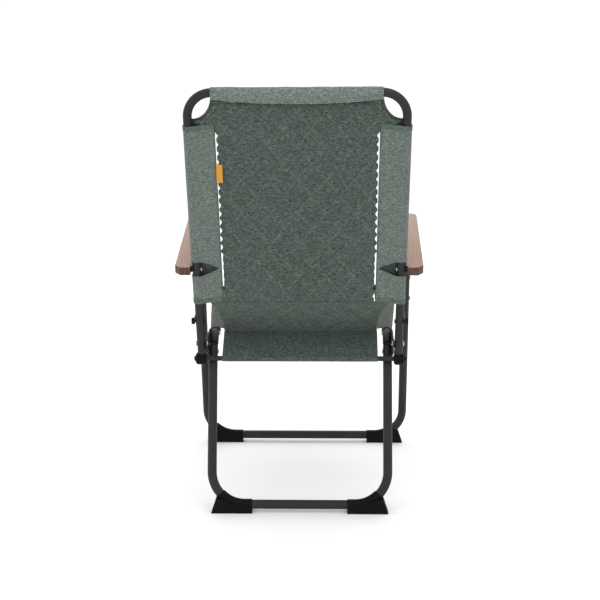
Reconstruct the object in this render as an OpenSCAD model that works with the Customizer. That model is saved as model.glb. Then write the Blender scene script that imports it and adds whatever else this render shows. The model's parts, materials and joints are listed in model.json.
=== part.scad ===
// Folding camp chair: bent steel tube frames, fabric sling seat and back, wooden armrests.
// The chair faces -Y, stands on Z = 0, and its footprint is centred on the origin.
// Side-view points are written [forward, height]: forward is measured from the rear floor bar.

/* [Tubes] */
// Outside diameter of the leg and seat tubes
leg_d = 22; // [20:0.5:24]
// Outside diameter of the back frame tube
back_d = 20; // [18:0.5:20]
// Wall thickness of every tube
wall = 1.5; // [1.2:0.1:2]
// Centreline radius of the bends at the floor
floor_bend = 78; // [60:1:90]
// Centreline radius of the top corners of the back frame
top_bend = 56; // [45:1:65]

/* [Layers across the chair] */
// Half spacing of the rear leg and seat tubes
inner_x = 211; // [209:0.5:211]
// Half spacing of the back frame tubes at their pivots
back_low_x = 236; // [236:0.5:237]
// Half spacing of the back frame tubes at the top bar
back_top_x = 244; // [242:0.5:246]
// Half spacing of the seat rails at the seat's front
front_x = 236; // [228:1:237]
// Half spacing of the front leg tubes
outer_x = 269; // [269:0.5:272]

/* [Side view] */
// Distance from the rear floor bar to the front floor bar
feet_span = 545; // [535:1:550]
// Height of the top bar's centre
back_height = 1002; // [980:1:1010]
// Backward lean of the back frame and the front legs, in degrees
recline = 13.9; // [13.5:0.1:14.3]
// Rise of the seat towards the front, in degrees
seat_slope = 6.1; // [5:0.1:7]
// Height of the back frame pivot
pivot_z = 398; // [396:1:400]
// Distance of the back frame pivot from the rear floor bar
pivot_u = 74; // [73:1:75]

/* [Armrests] */
// Length of a wooden armrest
arm_len = 405; // [380:1:420]
// Width of a wooden armrest
arm_w = 41; // [40:1:45]
// Thickness of a wooden armrest
arm_t = 20; // [18:1:22]

/* [Hidden] */

$fn = 48;
STEEL = "#3a3b3d";
PLASTIC = "#1c1d1f";
BOLT = "#8d8f92";
PANEL = "#5a6e63";
BAND = "#7f9487";
WOOD = "#b89d8f";

leg_r = leg_d / 2;
back_r = back_d / 2;
fit = 0.05;         // radial clearance of a pin in its bore
plate_t = 2.5;
plate_x = inner_x + leg_r + 0.4;
bolt_r = 3;
sole = 8;           // plastic under a floor bar
bar_z = sole + leg_r;
swell = 0.05;       // a bend's wall is this much thicker on each side
lap = 0.6;          // straight tube that runs on inside a bend

// Key points of the side view
foot = [feet_span, bar_z];
rear_bar = [0, bar_z];
lean = [-sin(recline), cos(recline)];
pivot = [pivot_u, pivot_z];
leg_pivot = [116, 368];
seat_origin = [150, 399];
seat_dir = [cos(seat_slope), sin(seat_slope)];
// where the front leg's line meets the seat rail's line
front_pivot_len = (seat_origin[1] - bar_z + (feet_span - seat_origin[0]) * tan(seat_slope))
    / (cos(recline) + sin(recline) * tan(seat_slope));
front_pivot = foot + front_pivot_len * lean;
rod_drop = 41;      // from the back pivot down to the rod, along the back
arm_rise = 196;     // from the back pivot to the armrest pivot, along the back
link_rise = 60;     // from the back pivot to the side link's pivot, along the back
rod_pos = pivot - rod_drop * lean;
arm_pivot = pivot + arm_rise * lean;
arm_front = front_pivot + arm_rise * lean;
link_rear = pivot + link_rise * lean;
link_front = front_pivot + link_rise * lean;
arm_drop = 29;      // from the board's centreline to the front pin
arm_dir_raw = arm_front + [0, arm_drop] - arm_pivot;
arm_slope = atan2(arm_dir_raw[1], arm_dir_raw[0]);
arm_tail = 17;      // board behind its rear pivot
seat_len = 375;     // seat rail from its bend to the front bar's centreline
seat_bend = 50;
rail_tail = 24;     // gap from the leg pivot to the rail's rear end

// Lengths along the back, measured from its pivot
back_len = (back_height - pivot_z) / cos(recline);
sleeve_low = 109;
sleeve_top = back_len - 76;
hem_low = back_len - 26;
notch_mid = arm_rise;
cloth = 1.3;        // thickness of a sleeve's fabric
strip_w = 58;       // from a back tube's centre in to the seam of the middle panel
seat_seam_x = 188;
seat_skin = leg_r + 0.3 + cloth;
foot_w = leg_d + 6;

// Footprint, used to centre the chair on the origin
hem_r = back_r + 0.3 + cloth;
rearmost = -(pivot_u - back_len * sin(recline)) + hem_r;
frontmost = feet_span + foot_w / 2;
rear_y = (frontmost - rearmost) / 2;

// Point in space from a distance across and a side-view point
function at(x, p) = [x, rear_y - p[0], p[1]];
function unit(v) = v / norm(v);

// The back tubes spread a little towards the top: half spacing and centre at length s from the pivot
function back_x(s) = back_low_x + (back_top_x - back_low_x) * s / back_len;
function on_tube(s) = at(back_x(s), pivot + s * lean);
splay = atan((back_top_x - back_low_x) / back_len);
// inner side of an armrest, which clears the back's sleeves when the chair is folded
arm_in_x = back_x(300) + back_r + 2.4;

// Points of a quarter circle, turning clockwise from the angle start
function arc(c, r, start) = [for (i = [0:8]) c + r * [cos(start - i * 90 / 8), sin(start - i * 90 / 8)]];

// Frames in which a flat piece is drawn
module at_pivot(x, p) {
    translate(at(x, p)) rotate([0, 90, 0]) children();
}
module on_back() {
    translate(at(0, pivot)) rotate([90 - recline, 0, 0]) children();
}
module on_seat() {
    translate(at(0, seat_origin)) rotate([-seat_slope, 0, 0]) children();
}
module on_side(x) {
    // drawing plane: first axis rearward, second axis up, thickness towards +X
    translate([x, 0, 0]) rotate([90, 0, 90]) children();
}
// Both sides of the chair
module mirrored() {
    children();
    mirror([1, 0, 0]) children();
}
module left_or_right(side) {
    if (side > 0) children();
    else mirror([1, 0, 0]) children();
}

// Cylinder between two points
module rod_between(a, b, r) {
    d = b - a;
    tilt = acos(d[2] / norm(d));
    turn = atan2(d[1], d[0]);
    translate(a) rotate([0, tilt, turn]) cylinder(r = r, h = norm(d));
}
// Bend of a tube at point p, between the directions d1 and d2, or the first share of it
module bend(p, d1, d2, bend_r, r, bore_r, share = 1) {
    turn = acos(d1 * d2);
    axis = unit(cross(d1, d2));
    inward = unit(d2 - (d1 * d2) * d1);
    c = p - d1 * bend_r * tan(turn / 2) + inward * bend_r;
    multmatrix([
        [-inward[0], d1[0], axis[0], c[0]],
        [-inward[1], d1[1], axis[1], c[1]],
        [-inward[2], d1[2], axis[2], c[2]],
        [0, 0, 0, 1]
    ]) rotate_extrude(angle = turn * share) translate([bend_r, 0]) difference() {
        circle(r + swell);
        if (bore_r > 0) circle(bore_r - swell);
    }
}
// Run of radius r through the points, with a bend radius at each inner point; hollow if bore_r is set
module run(points, radii, r, bore_r = 0) {
    last = len(points) - 1;
    dirs = [for (i = [0:last - 1]) unit(points[i + 1] - points[i])];
    trims = [for (i = [0:last])
        i == 0 || i == last ? 0 : radii[i] * tan(acos(dirs[i - 1] * dirs[i]) / 2) - lap];
    for (i = [0:last - 1]) {
        a = points[i] + dirs[i] * trims[i];
        b = points[i + 1] - dirs[i] * trims[i + 1];
        difference() {
            rod_between(a, b, r);
            if (bore_r > 0) rod_between(a - dirs[i], b + dirs[i], bore_r);
        }
    }
    for (i = [1:last - 1])
        bend(points[i], dirs[i - 1], dirs[i], radii[i], r, bore_r);
}
module tube(points, radii, r) {
    run(points, radii, r, r - wall);
}
// Rounded outline that keeps r outside the counterclockwise points, two or more of them
function heading(v) = atan2(v[1], v[0]);
function outline(pts, r) = [
    for (i = [0:len(pts) - 1])
        let (
            here = pts[i],
            before = heading(here - pts[(i + len(pts) - 1) % len(pts)]),
            after = heading(pts[(i + 1) % len(pts)] - here),
            turn = (after - before + 720) % 360
        )
        for (k = [0:12]) here + r * [cos(before - 90 + turn * k / 12), sin(before - 90 + turn * k / 12)]
];
// Side-view point in the drawing plane of on_side()
function flat(p) = [rear_y - p[0], p[1]];

// Bolt along X with a low round head at its outer end and a thin nut at its inner end
module bolt(p, x_in, x_out, head_r = 5.5, head_t = 3) {
    nut_t = 2;
    nut_r = 5.5;
    at_pivot(x_in, p) cylinder(r = bolt_r, h = x_out - x_in);
    at_pivot(x_out, p) cylinder(r = head_r, h = head_t);
    at_pivot(x_in - nut_t, p) cylinder(r = nut_r, h = nut_t, $fn = 6);
}
module cross_hole(p, x_in, x_out, r = bolt_r + fit) {
    at_pivot(x_in, p) cylinder(r = r, h = x_out - x_in);
}

// --- Seat -------------------------------------------------------------------
rail_bend = seat_origin;
rail_end_dir = unit(seat_origin - leg_pivot);
rail_end = leg_pivot + rail_tail * rail_end_dir;
seat_front = seat_origin + seat_len * seat_dir;
rail_screw = seat_origin + 18 * seat_dir;
// In front of the hinge plates the rails spread towards the seat's front
kink_t = 31;
kink = seat_origin + kink_t * seat_dir;
rail_splay = atan((front_x - inner_x) / (seat_len - kink_t));
function rail_x(t) = inner_x + (t - kink_t) * tan(rail_splay);
front_pivot_t = norm(front_pivot - seat_origin);
front_rail_x = rail_x(front_pivot_t);
splay_gap = 0.65;   // room for the slanted rail beside a square spacer or nut

seat_path = [
    at(inner_x, rail_end), at(inner_x, rail_bend), at(inner_x, kink), at(front_x, seat_front),
    at(-front_x, seat_front), at(-inner_x, kink), at(-inner_x, rail_bend), at(-inner_x, rail_end)
];
seat_radii = [0, 30, 60, seat_bend, seat_bend, 60, 30, 0];

module seat_frame() {
    color(STEEL) difference() {
        tube(seat_path, seat_radii, leg_r);
        mirrored() {
            cross_hole(rail_screw, inner_x - leg_r - 2, inner_x + leg_r + 2);
            cross_hole(front_pivot, front_rail_x - leg_r - 2, front_rail_x + leg_r + 2);
        }
    }
}
// Plug in an open tube end: a stem inside and a thin cap outside
module tube_plug(end, inside, r) {
    stem = 5;
    cap = 1.5;
    rod_between(end + inside * stem, end - inside * cap / 2, r - wall - 0.1);
    rod_between(end, end - inside * cap, r);
}
module seat_frame_plugs() {
    inside = unit(at(0, rail_bend) - at(0, rail_end));
    color(PLASTIC) mirrored() tube_plug(at(inner_x, rail_end), inside, leg_r);
}
// Plate that carries the back pivot, the rear leg pivot and the rail's end
module hinge_plates() {
    holes = [flat(pivot), flat(rail_screw), flat(leg_pivot)];
    color(STEEL) mirrored() on_side(plate_x) linear_extrude(plate_t) difference() {
        polygon(outline(holes, 11));
        for (p = holes) translate(p) circle(bolt_r + fit);
    }
}
// Screws that hold the plates on the seat rails
module plate_screws() {
    color(BOLT) mirrored() bolt(rail_screw, inner_x - leg_r - 0.2, plate_x + plate_t, 5.5, 2);
}
module back_pivot_bolts() {
    color(BOLT) mirrored() bolt(pivot, plate_x, back_low_x + back_r + 0.3, 6, 2.6);
}
module back_pivot_washers() {
    gap = back_low_x - back_r - plate_x - plate_t;
    color(PLASTIC) mirrored() difference() {
        at_pivot(plate_x + plate_t, pivot) cylinder(r = 9, h = gap - 0.25);
        cross_hole(pivot, plate_x, back_low_x);
    }
}
module front_pivot_bolts() {
    color(BOLT) mirrored()
        bolt(front_pivot, front_rail_x - leg_r - splay_gap, outer_x + leg_r + 0.2);
}
module front_pivot_spacers() {
    from_x = front_rail_x + leg_r + splay_gap;
    color(PLASTIC) mirrored() difference() {
        at_pivot(from_x, front_pivot) cylinder(r = 7, h = outer_x - leg_r - from_x - 0.3);
        cross_hole(front_pivot, from_x - 1, outer_x);
    }
}
// Fabric loop round a seat rail with a flat band that runs in to the seam
sleeve_t0 = 34;     // the sleeve's rear end, along the rail from its bend
module seat_sleeve(side) {
    loop_r = leg_r + 0.3;
    length = seat_len - seat_bend - 6 - sleeve_t0;
    slot = 22;
    function strip_w(l) = (rail_x(sleeve_t0) - seat_seam_x + l * sin(rail_splay)) / cos(rail_splay);
    color(BAND) left_or_right(side) on_seat() difference() {
        translate([rail_x(sleeve_t0), -sleeve_t0, 0]) rotate(rail_splay) difference() {
            union() {
                rotate([90, 0, 0]) cylinder(r = loop_r + cloth, h = length);
                translate([0, 0, loop_r]) linear_extrude(cloth)
                    polygon([[-strip_w(0), 0], [-strip_w(length), -length], [0, -length], [0, 0]]);
            }
            translate([0, 1, 0]) rotate([90, 0, 0]) cylinder(r = loop_r, h = length + 2);
        }
        // openings for the front pivot's bolt and spacer
        translate([front_rail_x - 20, -front_pivot_t - slot / 2, -8]) cube([40, slot, 16]);
    }
}
module seat_panel() {
    rear_t = 6;
    panel_t = 4;
    color(PANEL) on_seat() translate([-seat_seam_x, -(seat_len - 16), seat_skin - panel_t])
        cube([2 * seat_seam_x, seat_len - 16 - rear_t, panel_t]);
}
// Hem that wraps the seat frame's front bar
module seat_front_hem() {
    loop_r = leg_r + 0.3;
    half = front_x - seat_bend - 4;
    color(PANEL) on_seat() difference() {
        union() {
            translate([-half, -seat_len, 0]) rotate([0, 90, 0]) cylinder(r = loop_r + cloth, h = 2 * half);
            translate([-half, -seat_len, loop_r]) cube([2 * half, 16, cloth]);
        }
        translate([-half - 1, -seat_len, 0]) rotate([0, 90, 0]) cylinder(r = loop_r, h = 2 * half + 2);
    }
}
// Rear seam of the seat, where the back sling and the rear flap are sewn on
seam = seat_origin + 5 * seat_dir + (seat_skin - 3) * [-seat_dir[1], seat_dir[0]];
// Thin straight wall between two side-view points
module thin_wall(a, b, t) {
    fa = flat(a);
    fb = flat(b);
    d = fb - fa;
    translate(fa) rotate(atan2(d[1], d[0])) translate([0, -t / 2]) square([norm(d), t]);
}
// Lower end of the back sling, between the back's sleeves and the seat's rear seam
lower_top = pivot + (sleeve_low - 3) * lean;
seam_half = 187;    // half width of the fabric at the seam
module lower_back_panel() {
    top_half = 209;
    drop = lower_top[1] - seam[1];
    color(PANEL) intersection() {
        translate([-top_half, 0, 0]) on_side(0) linear_extrude(2 * top_half) thin_wall(lower_top, seam, 2);
        translate([0, 300, lower_top[1]]) rotate([90, 0, 0]) linear_extrude(600) polygon([
            [-top_half, 5], [top_half, 5], [top_half - 9, -drop / 3], [seam_half, -drop - 5],
            [-seam_half, -drop - 5], [-top_half + 9, -drop / 3]
        ]);
    }
}

// --- Rear legs --------------------------------------------------------------
leg_knee = [99, 338];
leg_tip = leg_pivot + 13 * unit(leg_pivot - leg_knee);
rear_leg_path = [
    at(inner_x, leg_tip), at(inner_x, leg_knee), at(inner_x, rear_bar),
    at(-inner_x, rear_bar), at(-inner_x, leg_knee), at(-inner_x, leg_tip)
];
rear_leg_radii = [0, 60, floor_bend, floor_bend, 60, 0];
module rear_leg_frame() {
    color(STEEL) difference() {
        tube(rear_leg_path, rear_leg_radii, leg_r);
        mirrored() cross_hole(leg_pivot, inner_x - leg_r - 2, inner_x + leg_r + 2);
    }
}
module rear_leg_plugs() {
    inside = unit(at(0, leg_knee) - at(0, leg_tip));
    color(PLASTIC) mirrored() tube_plug(at(inner_x, leg_tip), inside, leg_r);
}
module rear_pivot_bolts() {
    color(BOLT) mirrored() bolt(leg_pivot, inner_x - leg_r - 0.3, plate_x + plate_t, 5.5, 2);
}
// Plastic foot: a sleeve on the floor bar and on the first half of its bend, and a wedge to the floor
module foot_clip(path, radii, half_span, bar) {
    wrap = leg_r + 2;
    length = 97;
    share = 0.52;
    inner_end = half_span - length;
    bend_x = half_span - floor_bend;
    up = unit(path[0] - at(half_span, bar));
    color(PLASTIC) difference() {
        union() {
            rod_between(at(inner_end, bar), at(bend_x + lap, bar), wrap);
            bend(at(half_span, bar), [1, 0, 0], up, floor_bend, wrap, 0, share);
            translate(at(0, bar) + [0, foot_w / 2, -bar[1]]) rotate([90, 0, 0]) linear_extrude(foot_w)
                polygon([
                    [inner_end, 0], [half_span + 1, 0], [half_span - 11, 36],
                    [half_span - 28, 36], [half_span - 51, bar[1] + 4], [bend_x, bar[1]], [inner_end, bar[1]]
                ]);
        }
        run(path, radii, leg_r + 0.05);
    }
}
module rear_foot(side) {
    left_or_right(side) foot_clip(rear_leg_path, rear_leg_radii, inner_x, rear_bar);
}

// --- Front legs -------------------------------------------------------------
front_tip = arm_front + 9 * lean;
front_leg_path = [at(outer_x, front_tip), at(outer_x, foot), at(-outer_x, foot), at(-outer_x, front_tip)];
front_leg_radii = [0, floor_bend, floor_bend, 0];
module front_leg_frame() {
    color(STEEL) difference() {
        tube(front_leg_path, front_leg_radii, leg_r);
        mirrored() for (p = [front_pivot, arm_front, link_front])
            cross_hole(p, outer_x - leg_r - 2, outer_x + leg_r + 2);
    }
}
module front_leg_plugs() {
    inside = unit(at(0, foot) - at(0, front_tip));
    color(PLASTIC) mirrored() tube_plug(at(outer_x, front_tip), inside, leg_r);
}
module front_foot(side) {
    left_or_right(side) foot_clip(front_leg_path, front_leg_radii, outer_x, foot);
}

// --- Side links -------------------------------------------------------------
link_x = back_x(link_rise) + back_r + 1.8;
link_t = 2.5;
module side_link(side) {
    color(STEEL) left_or_right(side) on_side(link_x) linear_extrude(link_t) difference() {
        polygon(outline([flat(link_rear), flat(link_front)], 7.5));
        for (p = [link_rear, link_front]) translate(flat(p)) circle(bolt_r + fit);
    }
}
// Rivets that hold the links on the front legs
module front_link_rivets() {
    color(BOLT) mirrored() {
        at_pivot(link_x - 1.6, link_front) cylinder(r = 5, h = 1.4);
        at_pivot(link_x - 1.6, link_front) cylinder(r = bolt_r, h = outer_x + leg_r + 0.2 - link_x + 1.6);
        at_pivot(outer_x + leg_r + 0.1, link_front) cylinder(r = 5, h = 1.6);
    }
}

// --- Back -------------------------------------------------------------------
foot_s = 16 - rod_drop;
back_path = [
    on_tube(foot_s), on_tube(back_len),
    at(-back_x(back_len), pivot + back_len * lean), at(-back_x(foot_s), pivot + foot_s * lean)
];
back_radii = [0, top_bend, top_bend, 0];
module back_frame() {
    color(STEEL) difference() {
        tube(back_path, back_radii, back_r);
        mirrored() for (s = [arm_rise, link_rise, 0])
            cross_hole(pivot + s * lean, back_x(s) - back_r - 2, back_x(s) + back_r + 2);
    }
}
// Rod across the feet of the back tubes, which rests behind the rear legs
rod_r = 6;
rod_end_x = back_x(-rod_drop) + 15;
module rear_rod() {
    color(STEEL) at_pivot(-rod_end_x, rod_pos) cylinder(r = rod_r, h = 2 * rod_end_x);
}
module rod_cap_nuts() {
    color(PLASTIC) mirrored() at_pivot(rod_end_x, rod_pos) cylinder(r1 = 8, r2 = 5, h = 4);
}
// Hub with bevelled rims at the foot of each back tube, with a stem inside the tube
module back_hubs() {
    hub_r = 15;
    rim = 3.5;
    stem = 14;
    from_x = back_x(-rod_drop) - back_r;
    hub_w = rod_end_x - from_x - 0.3;
    color(PLASTIC) mirrored() difference() {
        union() {
            at_pivot(from_x, rod_pos) rotate_extrude() polygon([
                [0, 0], [hub_r - rim, 0], [hub_r, rim],
                [hub_r, hub_w - rim], [hub_r - rim, hub_w], [0, hub_w]
            ]);
            rod_between(on_tube(-rod_drop), on_tube(foot_s + stem), back_r - wall - 0.1);
            rod_between(on_tube(-rod_drop), on_tube(foot_s - 0.1), back_r);
        }
        at_pivot(from_x - 1, rod_pos) cylinder(r = rod_r + fit, h = 2 * back_r + 10);
    }
}
// Fabric from the seat's rear seam down to the rod, with a loop round the rod
module rear_flap() {
    loop_r = rod_r + 0.2;
    color(PANEL) translate([-seam_half, 0, 0]) on_side(0) linear_extrude(2 * seam_half) difference() {
        union() {
            translate(flat(rod_pos)) circle(loop_r + cloth);
            thin_wall(rod_pos + [0, loop_r + 0.6], seam - [4, 4], 2);
        }
        translate(flat(rod_pos)) circle(loop_r);
    }
}
// Middle panel of the back, between the two side bands
module back_panel() {
    panel_t = 6;
    low = sleeve_low - 1;
    high = hem_low - 2;
    half = [back_x(low) - strip_w, back_x(high) - strip_w];
    color(PANEL) on_back() translate([0, 0, -panel_t / 2]) linear_extrude(panel_t)
        polygon([[-half[0], low], [half[0], low], [half[1], high], [-half[1], high]]);
}
// Frame of a back tube: first axis across from its centre, second along it
module on_back_tube() {
    on_back() translate([back_low_x, 0, 0]) rotate(-splay) children();
}
// Side band of the back: a loop round the tube and a flat strip in to the seam
module back_sleeve(side) {
    loop_r = back_r + 0.3;
    arm_notch = 17;
    corner_r = 50;
    color(BAND) left_or_right(side) on_back_tube() difference() {
        union() {
            translate([0, sleeve_low, 0]) rotate([-90, 0, 0])
                cylinder(r = loop_r + cloth, h = sleeve_top - sleeve_low);
            translate([-strip_w, sleeve_low, -cloth]) cube([strip_w, hem_low - sleeve_low - 2, 2 * cloth]);
        }
        rotate([-90, 0, 0]) cylinder(r = loop_r, h = back_len);
        // concave corner below the top bar's bend
        translate([0, hem_low, -20]) cylinder(r = corner_r, h = 40);
        // pointed notch that bares the tube at the armrest's pivot
        translate([0, 0, -20]) linear_extrude(40) polygon([
            [-34, notch_mid], [-8, notch_mid - arm_notch],
            [20, notch_mid - arm_notch], [20, notch_mid + arm_notch],
            [-8, notch_mid + arm_notch]
        ]);
    }
}
// Hem that wraps the top bar
module top_hem() {
    loop_r = back_r + 0.3;
    half = back_top_x - top_bend - 0.5;
    color(BAND) on_back() difference() {
        union() {
            translate([-half, back_len, 0]) rotate([0, 90, 0]) cylinder(r = loop_r + cloth, h = 2 * half);
            translate([-half, hem_low, -loop_r - cloth]) cube([2 * half, back_len - hem_low, cloth]);
        }
        translate([-half - 1, back_len, 0]) rotate([0, 90, 0]) cylinder(r = loop_r, h = 2 * half + 2);
    }
}
// Plain woven tab sewn into the left seam
module label_tag() {
    tag_s = 435;
    color("#d9952a") on_back_tube() translate([-strip_w - 12, tag_s - 23, -3 - 1.2])
        cube([16, 46, 1.2]);
}
module back_link_bolts() {
    color(BOLT) mirrored() bolt(link_rear, back_x(link_rise) - back_r - 0.3, link_x + link_t + 0.3, 8, 5);
}
// Bolts from the back tubes into the sides of the armrests
arm_bolt_in = 22;
arm_bolt_x = back_x(arm_rise);
module armrest_bolts() {
    head_t = 2.5;
    from_x = arm_bolt_x - back_r - 0.3;
    color(BOLT) mirrored() {
        at_pivot(from_x, arm_pivot) cylinder(r = bolt_r, h = arm_in_x + arm_bolt_in - from_x);
        at_pivot(from_x - head_t, arm_pivot) cylinder(r = 5.5, h = head_t);
    }
}
module armrest_spacers() {
    from_x = arm_bolt_x + back_r + 0.1;
    color(PLASTIC) mirrored() difference() {
        at_pivot(from_x, arm_pivot) cylinder(r = 7, h = arm_in_x - from_x - 0.3);
        cross_hole(arm_pivot, from_x - 1, arm_in_x + 1);
    }
}

// --- Armrests ---------------------------------------------------------------
// Frame with its first axis forward along the board and its origin on the rear pivot
module on_arm() {
    translate(at(0, arm_pivot)) rotate([-arm_slope, 0, 0]) children();
}
module armrest(side) {
    end_in = 16.5;    // the tail's end face is narrower by this much on its outer side
    side_in = 4;      // and the outer side runs in by this much towards the tail
    nose = arm_len - arm_tail;
    nose_r = 18;
    color(WOOD) left_or_right(side) difference() {
        on_arm() translate([0, 0, -arm_t / 2]) linear_extrude(arm_t) polygon(concat(
            [[arm_in_x, arm_tail], [arm_in_x + arm_w - end_in, arm_tail],
             [arm_in_x + arm_w - side_in, arm_tail - 16]],
            arc([arm_in_x + arm_w - nose_r, nose_r - nose], nose_r, 0),
            arc([arm_in_x + nose_r, nose_r - nose], nose_r, -90)
        ));
        cross_hole(arm_pivot, arm_in_x - 1, arm_in_x + arm_bolt_in + 0.5);
    }
}
// Channel bracket screwed under the board, straddling the front leg's top
bracket_ear = 2.5;
bracket_base = 2.5;
bracket_holes = [18, 36];   // screws, rearward from the pin
module armrest_bracket(side) {
    half = leg_r + 0.5;
    under = -arm_t / 2 - 0.1;
    pin_t = norm(arm_front - arm_pivot) * cos(arm_slope - atan2(arm_front[1] - arm_pivot[1],
        arm_front[0] - arm_pivot[0]));
    color(STEEL) left_or_right(side) difference() {
        union() {
            on_arm() translate([outer_x - half - bracket_ear, -pin_t - 10, under - bracket_base])
                cube([2 * (half + bracket_ear), 52, bracket_base]);
            for (x = [outer_x - half - bracket_ear, outer_x + half]) on_side(x)
                linear_extrude(bracket_ear) union() {
                    translate(flat(arm_front)) circle(9);
                    translate(flat(arm_front)) rotate(-arm_slope) translate([-9, 0])
                        square([18, arm_drop - arm_t / 2 - 1.5]);
                }
        }
        cross_hole(arm_front, outer_x - 30, outer_x + 30);
        on_arm() for (t = bracket_holes) translate([outer_x, -pin_t + t, under - 5]) cylinder(r = 2.2, h = 10);
    }
}
module bracket_pin(side) {
    half = leg_r + 0.5 + bracket_ear;
    color(BOLT) left_or_right(side) {
        at_pivot(outer_x - half - 0.2, arm_front) cylinder(r = bolt_r, h = 2 * half + 0.4);
        at_pivot(outer_x - half - 1.7, arm_front) cylinder(r = 5, h = 1.5);
        at_pivot(outer_x + half + 0.2, arm_front) cylinder(r = 5, h = 2);
    }
}
module bracket_screws(side) {
    under = -arm_t / 2 - 0.1;
    pin_t = norm(arm_front - arm_pivot) * cos(arm_slope - atan2(arm_front[1] - arm_pivot[1],
        arm_front[0] - arm_pivot[0]));
    color(BOLT) left_or_right(side) on_arm() for (t = bracket_holes)
        translate([outer_x, -pin_t + t, under - bracket_base - 1.6]) {
            cylinder(r = 4, h = 1.5);
            cylinder(r = 2, h = bracket_base + 1.6);
        }
}

seat_frame();
seat_frame_plugs();
hinge_plates();
plate_screws();
back_pivot_bolts();
back_pivot_washers();
front_pivot_bolts();
front_pivot_spacers();
seat_panel();
seat_sleeve(1);  // seat_sleeve_left
seat_sleeve(-1);  // seat_sleeve_right
seat_front_hem();
lower_back_panel();
rear_leg_frame();
rear_leg_plugs();
rear_pivot_bolts();
rear_foot(1);  // rear_foot_left
rear_foot(-1);  // rear_foot_right
front_leg_frame();
front_leg_plugs();
front_foot(1);  // front_foot_left
front_foot(-1);  // front_foot_right
front_link_rivets();
back_frame();
back_hubs();
rear_rod();
rod_cap_nuts();
rear_flap();
back_panel();
back_sleeve(1);  // back_sleeve_left
back_sleeve(-1);  // back_sleeve_right
top_hem();
label_tag();
back_link_bolts();
armrest_bolts();
armrest_spacers();
armrest(1);  // armrest_left
armrest(-1);  // armrest_right
armrest_bracket(1);  // armrest_bracket_left
armrest_bracket(-1);  // armrest_bracket_right
bracket_pin(1);  // bracket_pin_left
bracket_pin(-1);  // bracket_pin_right
bracket_screws(1);  // bracket_screws_left
bracket_screws(-1);  // bracket_screws_right
side_link(1);  // side_link_left
side_link(-1);  // side_link_right
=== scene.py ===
import json
import math

import bmesh
import bpy
import numpy as np
from mathutils import Matrix, Vector, noise
from mathutils.bvhtree import BVHTree


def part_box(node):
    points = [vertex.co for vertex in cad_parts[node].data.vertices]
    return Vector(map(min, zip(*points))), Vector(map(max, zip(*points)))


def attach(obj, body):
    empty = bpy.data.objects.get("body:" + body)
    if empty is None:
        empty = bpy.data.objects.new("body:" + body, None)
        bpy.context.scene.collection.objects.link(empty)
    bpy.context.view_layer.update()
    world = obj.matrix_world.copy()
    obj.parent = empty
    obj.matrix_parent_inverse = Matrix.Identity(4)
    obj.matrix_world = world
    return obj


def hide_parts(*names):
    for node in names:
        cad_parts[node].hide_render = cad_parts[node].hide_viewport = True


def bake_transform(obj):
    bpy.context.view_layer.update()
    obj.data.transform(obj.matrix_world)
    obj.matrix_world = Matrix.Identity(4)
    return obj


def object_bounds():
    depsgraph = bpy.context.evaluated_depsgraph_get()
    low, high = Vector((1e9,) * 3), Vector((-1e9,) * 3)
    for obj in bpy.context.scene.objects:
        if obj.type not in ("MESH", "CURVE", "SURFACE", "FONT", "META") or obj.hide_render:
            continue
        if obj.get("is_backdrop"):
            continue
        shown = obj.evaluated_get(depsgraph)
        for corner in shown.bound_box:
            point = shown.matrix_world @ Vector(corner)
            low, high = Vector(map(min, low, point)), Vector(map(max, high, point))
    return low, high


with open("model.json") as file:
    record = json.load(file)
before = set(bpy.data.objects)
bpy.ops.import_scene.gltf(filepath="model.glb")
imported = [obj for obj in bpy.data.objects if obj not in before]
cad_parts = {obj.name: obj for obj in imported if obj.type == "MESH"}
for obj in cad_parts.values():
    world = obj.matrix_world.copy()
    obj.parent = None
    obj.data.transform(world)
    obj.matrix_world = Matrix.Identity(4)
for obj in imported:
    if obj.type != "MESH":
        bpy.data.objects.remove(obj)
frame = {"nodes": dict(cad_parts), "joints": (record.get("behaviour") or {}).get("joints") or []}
cad_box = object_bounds()

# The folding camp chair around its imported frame. Metres; the chair faces -Y and its back leans to +Y.

# --- Sizes and places from the frame ------------------------------------------------

MM = 0.001
BACK_R = 10 * MM  # radius of the back tube
LEG_R = 11 * MM  # radius of the leg and seat tubes
CLOTH = 1.2 * MM  # thickness of a single layer of the sling fabric
GAP = 0.4 * MM  # fabric to tube
STRIP_W = 58 * MM  # from a back tube's centre in to the seam of the middle panel
BACK_LOW_X = 236 * MM  # half spacing of the back tubes at their pivots
BACK_SPREAD = 8 * MM  # and how much wider it is at the top bar
HEM_X = 190 * MM  # half width of the top hem
SEAT_SEAM_X = 188 * MM
SEAT_LEN = 375 * MM  # seat rail from its rear bend to the front bar
QUILT_W = 64 * MM  # diamonds of the quilting, across and along
QUILT_H = 80 * MM
RAIL_KINK_T = 31 * MM  # from here forward the seat rails spread, by this much at the front bar
RAIL_SPREAD = 25 * MM
BACK_QUILT_S = 499 * MM  # where sewn lines cross at half a diamond from the middle
SEAT_QUILT_T = 190 * MM
SIDES = ((1, "left"), (-1, "right"))


def joint_place(name):
    return Vector(next(j["pos_m"] for j in frame["joints"] if j["name"] == name))


PIVOT = joint_place("back_fold")
FRONT_PIVOT = joint_place("front_leg_fold")
frame_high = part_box("back_frame")[1]
BACK_TOP = Vector((0, frame_high.y - BACK_R, frame_high.z - BACK_R))
BACK_LEN = (BACK_TOP - PIVOT).length
LEAN = (BACK_TOP - PIVOT).normalized()
REARWARD = Vector((0, LEAN.z, -LEAN.y))
ROD = sum(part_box("rear_rod"), Vector()) / 2

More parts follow.
